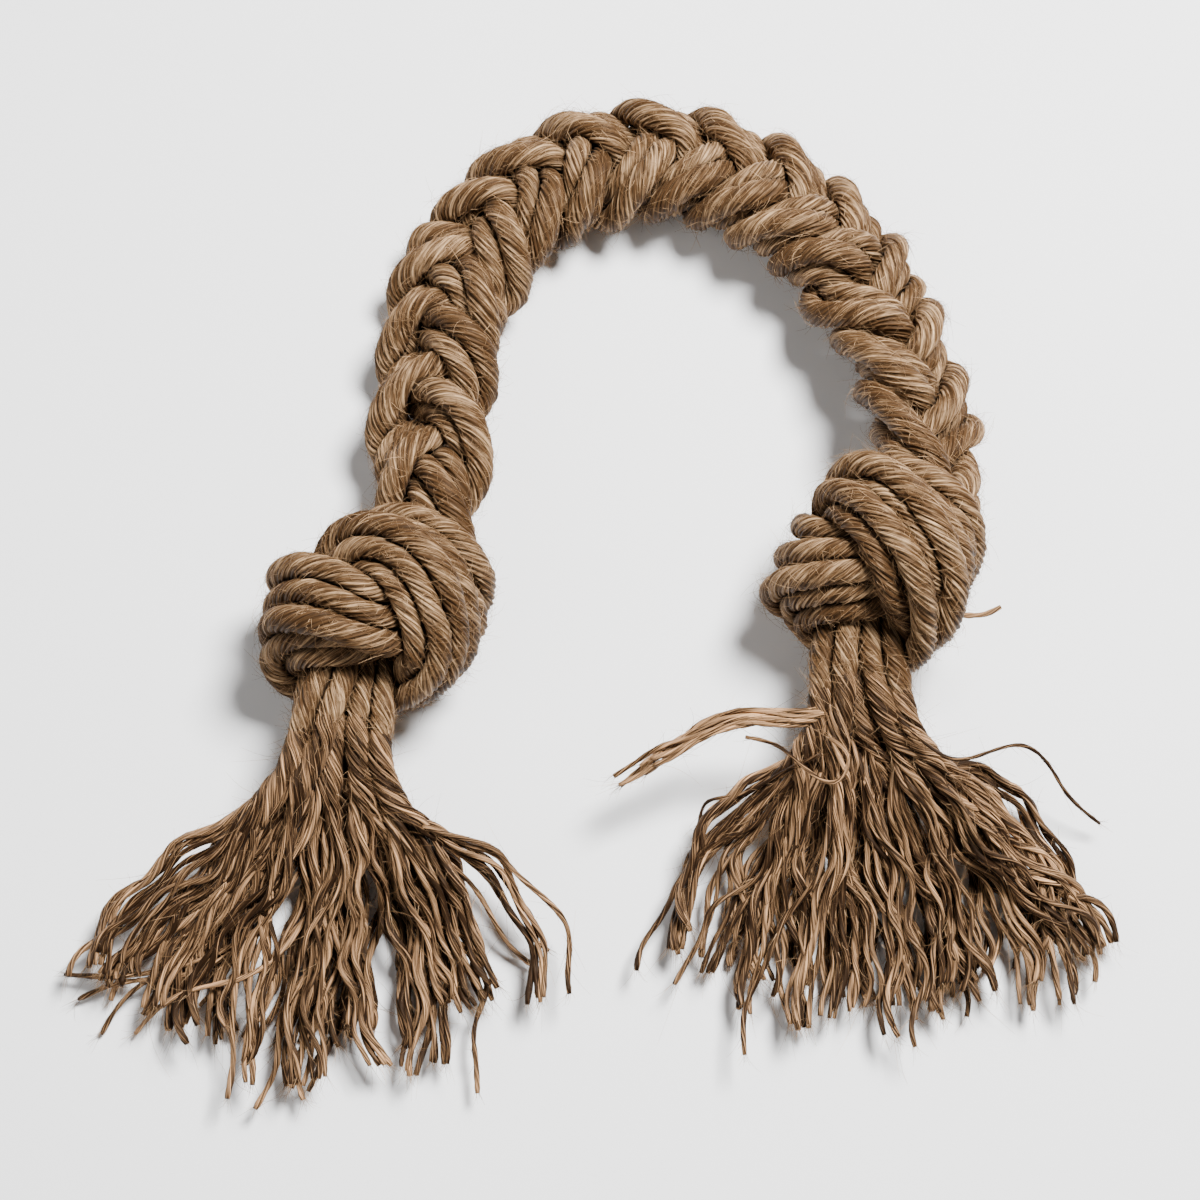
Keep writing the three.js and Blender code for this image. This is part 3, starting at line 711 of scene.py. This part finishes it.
def lay_cord(cord):
    """A laid cord whose yarns are ridges that wind round it."""
    s, line, _, across, up = paths[cord]
    field, cover_field = reach_field(cord)
    columns = YARNS * YARN_COLUMNS
    phase = TURN * np.arange(columns) / columns
    yarn = np.arange(columns) // YARN_COLUMNS
    place = (np.arange(columns) % YARN_COLUMNS + 0.5) / YARN_COLUMNS * 2 - 1
    drift = wander(YARNS, s, *LAY_WAVES)[yarn].T
    angle = phase[None] + drift - TURN * s[:, None] / LAY_PITCH
    ring = np.broadcast_to(np.arange(len(s))[:, None], angle.shape).astype(float)
    reach = field_at(field, ring, angle)
    cover = field_at(cover_field, ring, angle)
    dip = 1 - np.sqrt(1 - RIDGE_CURVE * place**2)
    groove = (dip / dip.max())[None]
    proud = wander(YARNS, s, *RIDGE_WAVES)[yarn].T + rng.normal(0, RIDGE_SPREAD, YARNS)[yarn][None]
    r = reach - GROOVE_DEPTH * groove + proud
    ends = np.minimum(s, s[-1] - s)
    r = r * (END_THIN + (1 - END_THIN) * smooth(ends / END_RUN))[:, None]
    rings = line[:, None] + r[..., None] * (
        np.cos(angle)[..., None] * across[:, None] + np.sin(angle)[..., None] * up[:, None]
    )
    rings[..., 2] = np.maximum(rings[..., 2], CORD_FLOOR)
    ridge = slice(YARN_COLUMNS // 2, None, YARN_COLUMNS)
    lay_ends[cord] = {side: (angle[end, ridge], reach[end, ridge]) for side, end in zip(SIDES, (0, -1))}
    tint = LEAST_TINT + YARN_TINT * rng.random(YARNS)[yarn][None] + CORD_TINT * rng.random()
    tint = tint + wander(YARNS, s, *TINT_WAVES)[yarn].T
    pile = Pile()
    # painted shade: darker in the grooves between a cord's yarns and where neighbouring cords lie close
    shade = np.maximum(RIDGE_PAINTED_SHADE * groove, cover)
    pile.add(rings[None], s[None] * MM, phase * CORD_DIAMETER / 2 * MM, tint, shade)
    piece = pile.piece(f"cord_{cord}", cord_jute)
    out = unit(rings - line[:, None])
    return piece, rings, out, cover


for cord in CORDS:
    piece, rings, out, cover = lay_cord(cord)
    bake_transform(piece)
    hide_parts(*(f"{side}_{part}_cord_{cord}" for side in SIDES for part in ("knot", "plait")))
    heading = paths[cord][2]
    open_side = np.argwhere(cover < OPEN_COVER)
    ring, column = open_side[rng.integers(len(open_side), size=CORD_FIBRES)].T
    roots = rings[ring, column]
    normal = out[ring, column]
    yarn_way = unit(rings[np.minimum(ring + 1, len(rings) - 1), column] - rings[ring - 1, column])
    aside = np.cross(normal, yarn_way)
    turn = rng.normal(0, FIBRE_TURN, (CORD_FIBRES, 1)) + math.pi * rng.integers(0, 2, (CORD_FIBRES, 1))
    towards = np.cos(turn) * yarn_way + np.sin(turn) * aside
    lengths = np.minimum(LEAST_FIBRE + rng.gamma(*CORD_FIBRE_LENGTHS, CORD_FIBRES), LONGEST_FIBRE)
    over = 1 - (towards * heading[ring]).sum(1, keepdims=True) ** 2
    drop = over * lengths[:, None] / CORD_DIAMETER
    lift = np.minimum(rng.gamma(*FIBRE_LIFTS, (CORD_FIBRES, 1)), MOST_LIFT) + drop / 2
    bends = -drop * normal + CORD_CURL * rng.normal(size=(CORD_FIBRES, 3))
    towards = towards + lift * normal
    pile = Pile()
    fibre_tubes(pile, roots - CORD_ROOT * normal, towards, bends, lengths, rng.random(CORD_FIBRES))
    piece = pile.piece(f"stray_fibres_{cord}", fibre_jute)
    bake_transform(piece)


# Tassels
def tuft_end(name, root):
    """Middle and half width of a CAD tuft's far end."""
    corners, triangles = surface(name)
    edges = np.vstack([triangles[:, (0, 1)], triangles[:, (1, 2)], triangles[:, (2, 0)]])
    length = np.linalg.norm(corners[edges[:, 0]] - corners[edges[:, 1]], axis=1)
    start = int(np.linalg.norm(corners - root, axis=1).argmin())
    far = distances(zip(edges[:, 0], edges[:, 1], length), start, len(corners))
    tip = corners[far > far.max() - TIP_RUN]
    away = np.linalg.norm(tip - root, axis=1)
    tip = tip[away > away.max() - TIP_DEPTH]
    middle = (tip.min(0) + tip.max(0)) / 2
    return middle, np.linalg.norm((tip - middle)[:, :2], axis=1).max()


def tuft_yarns(side, cord):
    """Lines of a frayed cord's yarns: laid at first, then in wavy locks that spread over the tuft."""
    s, line, heading, across, _ = paths[cord]
    if side == "left":
        first, last, out, sign = ROOT_RINGS, 0, -heading[0], 1
    else:
        first, last, out, sign = len(s) - 1 - ROOT_RINGS, len(s) - 1, heading[-1], -1
    root = line[last]
    tip, half_width = tuft_end(f"{side}_frayed_end_{cord}", root)
    straight = root + TUFT_STRAIGHT * unit(out + (0, -1.0, 0))
    lower_x = root[0] + TUFT_SPREAD * (tip[0] - root[0])
    lower = np.array([lower_x, root[1] - TUFT_BEND, (tip[2] + TUFT_LOW) / 2])
    f = np.linspace(0, 1, YARN_LEVELS)[:, None]
    g = 1 - f
    middle = g**3 * root + 3 * f * g**2 * straight + 3 * f**2 * g * lower + f**3 * tip
    inside = line[np.linspace(first, last, ROOT_POINTS + 1).astype(int)[:ROOT_POINTS]]
    middle = np.vstack([inside, middle])
    way = unit(np.gradient(middle, axis=0))
    wide = unit(np.cross((0, 0, 1), way))
    high = np.cross(way, wide)
    one = np.empty_like(way)
    one[0] = across[first]
    for i in range(1, len(way)):
        one[i] = unit(one[i - 1] - way[i] * (one[i - 1] @ way[i]))
    two = np.cross(-sign * way, one)
    run = np.r_[0, np.cumsum(np.linalg.norm(np.diff(middle, axis=0), axis=1))]
    run = run - run[ROOT_POINTS]
    loose = smooth((run - LAID_RUN) / UNLAY_RUN)
    wavy = smooth((run - WAVE_START) / WAVE_RUN)
    freed = smooth(run / FREE_RUN)
    apart = smooth((run - APART_START) / APART_RUN)
    rate = (1 - UNLAID * loose) / LAY_PITCH
    wound = np.r_[0, np.cumsum(np.diff(run) * (rate[1:] + rate[:-1]) / 2)]
    wound = sign * TURN * (wound - wound[ROOT_POINTS])
    angles, reach = lay_ends[cord][side]
    angles = np.r_[angles, TURN * np.arange(CORE_YARNS) / CORE_YARNS]
    ring_end = np.r_[reach - YARN_RADIUS, np.full(CORE_YARNS, CORE_RING)]
    ring_free = np.r_[np.full(YARNS, FREE_RING), np.full(CORE_YARNS, FREE_CORE_RING)]

    # Neighbours in the lay share a lock, and the locks lie over the tuft in the order of their leaving the cord
    group = np.r_[np.arange(YARNS) * LOCKS // YARNS, np.arange(CORE_YARNS) % LOCKS]
    mid = int(np.searchsorted(run, LAID_RUN + LOCK_START * UNLAY_RUN))
    turn = (angles + wound[mid])[:, None]
    leave = np.cos(turn) * one[mid] + np.sin(turn) * two[mid]
    side_of = np.array([(leave[group == lock] @ wide[mid]).mean() for lock in range(LOCKS)])
    rank = np.argsort(np.argsort(side_of + LOCK_SHUFFLE * rng.normal(size=LOCKS)))
    lines = []
    for lock in range(LOCKS):
        over = (rank[lock] + rng.uniform(*LOCK_PLACE)) / LOCKS * 2 - 1
        rise = LOCK_RISE * (leave[group == lock] @ high[mid]).mean() + rng.uniform(-LOCK_RISE, LOCK_RISE)
        wave = TURN * run / (LOCK_WAVE * rng.uniform(*WAVE_RATIO)) + rng.uniform(0, TURN)
        sway = TURN * run / (LOCK_SWAY * rng.uniform(*SWAY_RATIO)) + rng.uniform(0, TURN)
        deep = rng.uniform(*WAVE_DEPTH) * wavy
        bow = SWAY_DEPTH * wavy * (np.sin(sway) - np.sin(sway[mid]))
        length = rng.uniform(*(LOCK_LENGTH if rng.random() > SHORT_SHARE else SHORT_LENGTH))
        members = np.flatnonzero(group == lock)
        for place, k in enumerate(members):
            ring = (ring_end[k] + ROOT_TAPER * np.minimum(run, 0)) * (1 - freed) + ring_free[k] * freed
            ring = (1 - RING_LOSS * loose) * ring
            turn = (angles[k] + wound)[:, None]
            laid = ring[:, None] * (np.cos(turn) * one + np.sin(turn) * two)
            row = place - (len(members) - 1) / 2
            stagger = ROW_STAGGER if place % 2 else -ROW_STAGGER
            phase = wave + rng.normal(0, PHASE_SPREAD)
            x = loose**SPREAD_POWER * half_width * over + ROW_PITCH * row * loose + deep * np.sin(phase) + bow
            z = RISE_HEIGHT * rise * loose + stagger * loose + WAVE_LIFT * deep * np.cos(phase)
            x = x + loose * wander(1, run, *YARN_WAVES)[0] + rng.normal(0, APART_SPREAD) * apart
            far = length * rng.uniform(*YARN_LENGTH)
            if rng.random() < STRAY_SHARE:
                away = rng.choice([-1, 1]) * rng.uniform(*STRAY_AWAY)
                x = x + away * smooth((run - STRAY_START) / STRAY_RUN)
                x = x + STRAY_WAVE * wavy * np.sin(TURN * run / rng.uniform(*STRAY_WAVE_LENGTH))
                z = z + rng.uniform(*STRAY_RISE) * loose
                far = far * rng.uniform(*STRAY_LENGTH)
            yarn = middle + laid + x[:, None] * wide + z[:, None] * high
            lines.append(yarn[0] + (yarn - yarn[0]) * (1 + (far - 1) * loose)[:, None])
    return lines


def bunch_yarns():
    """Lines of the loose strand of yarns that sticks out of the right tassel."""
    s, line, heading = spline(STRAY_BUNCH, BUNCH_STEP)
    across, up = carried_frame(heading)
    lines = []
    for k in range(BUNCH_YARNS):
        turn = (TURN * k / BUNCH_YARNS + TURN * s / BUNCH_PITCH + wander(1, s, *BUNCH_TURN)[0])[:, None]
        ring = BUNCH_RADIUS * (1 + wander(1, s, *BUNCH_SWELL)[0]) * rng.choice(BUNCH_RINGS)
        yarn = line + ring[:, None] * (np.cos(turn) * across + BUNCH_FLATNESS * np.sin(turn) * up)
        lines.append(yarn[: len(yarn) - rng.integers(0, BUNCH_CUT)])
    return lines


def settle_yarns(lines):
    """Yarns push each other apart, level by level, and lie on the table."""
    yarns = np.array(lines)
    free = smooth((np.arange(yarns.shape[1]) - HELD_LEVELS) / HELD_FADE)[None, :, None]
    for _ in range(SETTLE_ROUNDS):
        apart = yarns[:, None] - yarns[None]
        gap = np.linalg.norm(apart, axis=3)
        np.einsum("iik->ik", gap)[...] = NOTHING_NEAR
        press = np.clip(2 * YARN_RADIUS - gap, 0, None) / np.maximum(gap, LEAST_GAP)
        yarns = yarns + free * SETTLE_PUSH * (press[..., None] * apart).sum(1)
        mid = (yarns[:, :-2] + yarns[:, 2:]) / 2
        yarns[:, 1:-1] += free[:, 1:-1] * SETTLE_EASE * (mid - yarns[:, 1:-1])
        yarns[..., 2] = np.maximum(yarns[..., 2], YARN_RADIUS)
    return yarns


for side in SIDES:
    lines, owner = [], []
    for cord in CORDS:
        made = tuft_yarns(side, cord)
        lines += made
        owner += [cord] * len(made)
    yarns = settle_yarns(lines)
    fuzz = []
    for strand in "abc":
        pile = Pile()
        for yarn, cord in zip(yarns, owner):
            if cord[0] != strand:
                continue
            s, line, heading = spline(yarn, YARN_STEP)
            radius = YARN_RADIUS * rng.uniform(*TUFT_RADII)
            tint = TUFT_LEAST_TINT + TUFT_TINT * rng.random()
            yarn_tube(pile, line, heading, s, radius, tint, LAID_RUN + UNLAY_RUN)
            fuzz.append((line, heading, radius))
        piece = pile.piece(f"{side}_tassel_{strand}", yarn_jute_with_painted_shade)
        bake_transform(piece)
        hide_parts(*(f"{side}_frayed_end_{cord}" for cord in CORDS if cord[0] == strand))
    pile = Pile()
    for name, points in STRAY_YARNS[side].items():
        s, line, heading = spline(points, YARN_STEP)
        radius = STRAY_THIN[side] * YARN_RADIUS
        yarn_tube(pile, line, heading, s, radius, STRAY_TINTS.get(name[:4], STRAY_TINT))
        fuzz.append((line, heading, radius))
    for yarn in bunch_yarns() if side == "right" else []:
        s, line, heading = spline(yarn, YARN_STEP)
        radius = BUNCH_THIN * YARN_RADIUS
        yarn_tube(pile, line, heading, s, radius, rng.uniform(*BUNCH_TINTS))
        fuzz.append((line, heading, radius))
    piece = pile.piece(f"{side}_stray_yarns", yarn_jute_with_painted_shade)
    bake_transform(piece)
    if side == "right":
        pile = Pile()
        s, line, heading = spline(KNOT_STRAY, YARN_STEP)
        yarn_tube(pile, line, heading, s, KNOT_STRAY_THIN * YARN_RADIUS, KNOT_STRAY_TINT)
        piece = pile.piece("right_knot_stray_yarn", yarn_jute_with_painted_shade)
        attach(piece, "right_half")

    # Fibres along the yarns, and a brush of them at every cut end
    pile = Pile()
    roots, towards, bends, lengths = [], [], [], []
    for line, heading, radius in fuzz:
        for _ in range(YARN_FIBRES // len(fuzz)):
            i = rng.integers(len(line))
            off = unit(np.cross(heading[i], rng.normal(size=3)))
            roots.append(line[i] + YARN_ROOT * radius * off)
            towards.append(unit(heading[i] * rng.choice([-1, 1]) + rng.uniform(*YARN_FIBRE_LEAN) * off))
            bends.append(YARN_CURL * rng.normal(size=3))
            lengths.append(LEAST_FIBRE + rng.gamma(*YARN_FIBRE_LENGTHS))
        for _ in range(BRUSH_FIBRES):
            off = unit(np.cross(heading[-1], rng.normal(size=3)))
            roots.append(line[-1] - BRUSH_DEPTH * heading[-1] + rng.uniform(*BRUSH_ROOT) * radius * off)
            towards.append(unit(heading[-1] + rng.uniform(*BRUSH_LEAN) * off))
            bends.append(BRUSH_CURL * rng.normal(size=3))
            lengths.append(LEAST_FIBRE + rng.gamma(*BRUSH_LENGTHS))
    fibre_tubes(pile, roots, towards, bends, lengths, rng.random(len(roots)))
    piece = pile.piece(f"{side}_tassel_fibres", fibre_jute)
    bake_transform(piece)


# Stage
FLOOR_SIZE = 6.0
FLOOR_COLOUR = (0.90, 0.90, 0.90, 1)
FLOOR_ROUGHNESS = 0.8
WORLD_STRENGTH = 0.13


def floor():
    bpy.ops.mesh.primitive_plane_add(size=FLOOR_SIZE)
    plane = bpy.context.object
    plane.name = "floor"
    material = bpy.data.materials.new("pale_floor")
    material.use_nodes = True
    shader = material.node_tree.nodes["Principled BSDF"]
    shader.inputs["Base Color"].default_value = FLOOR_COLOUR
    shader.inputs["Roughness"].default_value = FLOOR_ROUGHNESS
    plane.data.materials.append(material)


def area_light(name, at, size, power):
    data = bpy.data.lights.new(name, "AREA")
    data.shape = "DISK"
    data.size = size
    data.energy = power
    lamp = bpy.data.objects.new(name, data)
    lamp.location = at
    lamp.rotation_euler = (Vector((0, 0, 0)) - Vector(at)).to_track_quat("-Z", "Y").to_euler()
    bpy.context.scene.collection.objects.link(lamp)


def camera():
    data = bpy.data.cameras.new("camera")
    data.sensor_width = SENSOR
    data.lens = SENSOR * CAMERA_DISTANCE / CAMERA_WIDTH
    eye = bpy.data.objects.new("camera", data)
    tilt = math.radians(90 - CAMERA_ELEVATION)
    look = np.array([0, math.sin(tilt), -math.cos(tilt)])
    eye.location = Vector((np.array(CAMERA_TARGET) - look * CAMERA_DISTANCE) * MM)
    eye.rotation_euler = (tilt, 0, 0)
    bpy.context.scene.collection.objects.link(eye)
    bpy.context.scene.camera = eye


floor()
camera()
area_light("key", at=(0.45, 0.40, 1.2), size=0.45, power=70)
area_light("fill", at=(-0.8, -0.4, 1.0), size=1.0, power=5)
world = bpy.data.worlds.new("studio")
world.use_nodes = True
sky = world.node_tree.nodes["Background"]
sky.inputs["Color"].default_value = (1, 1, 1, 1)
sky.inputs["Strength"].default_value = WORLD_STRENGTH
bpy.context.scene.world = world
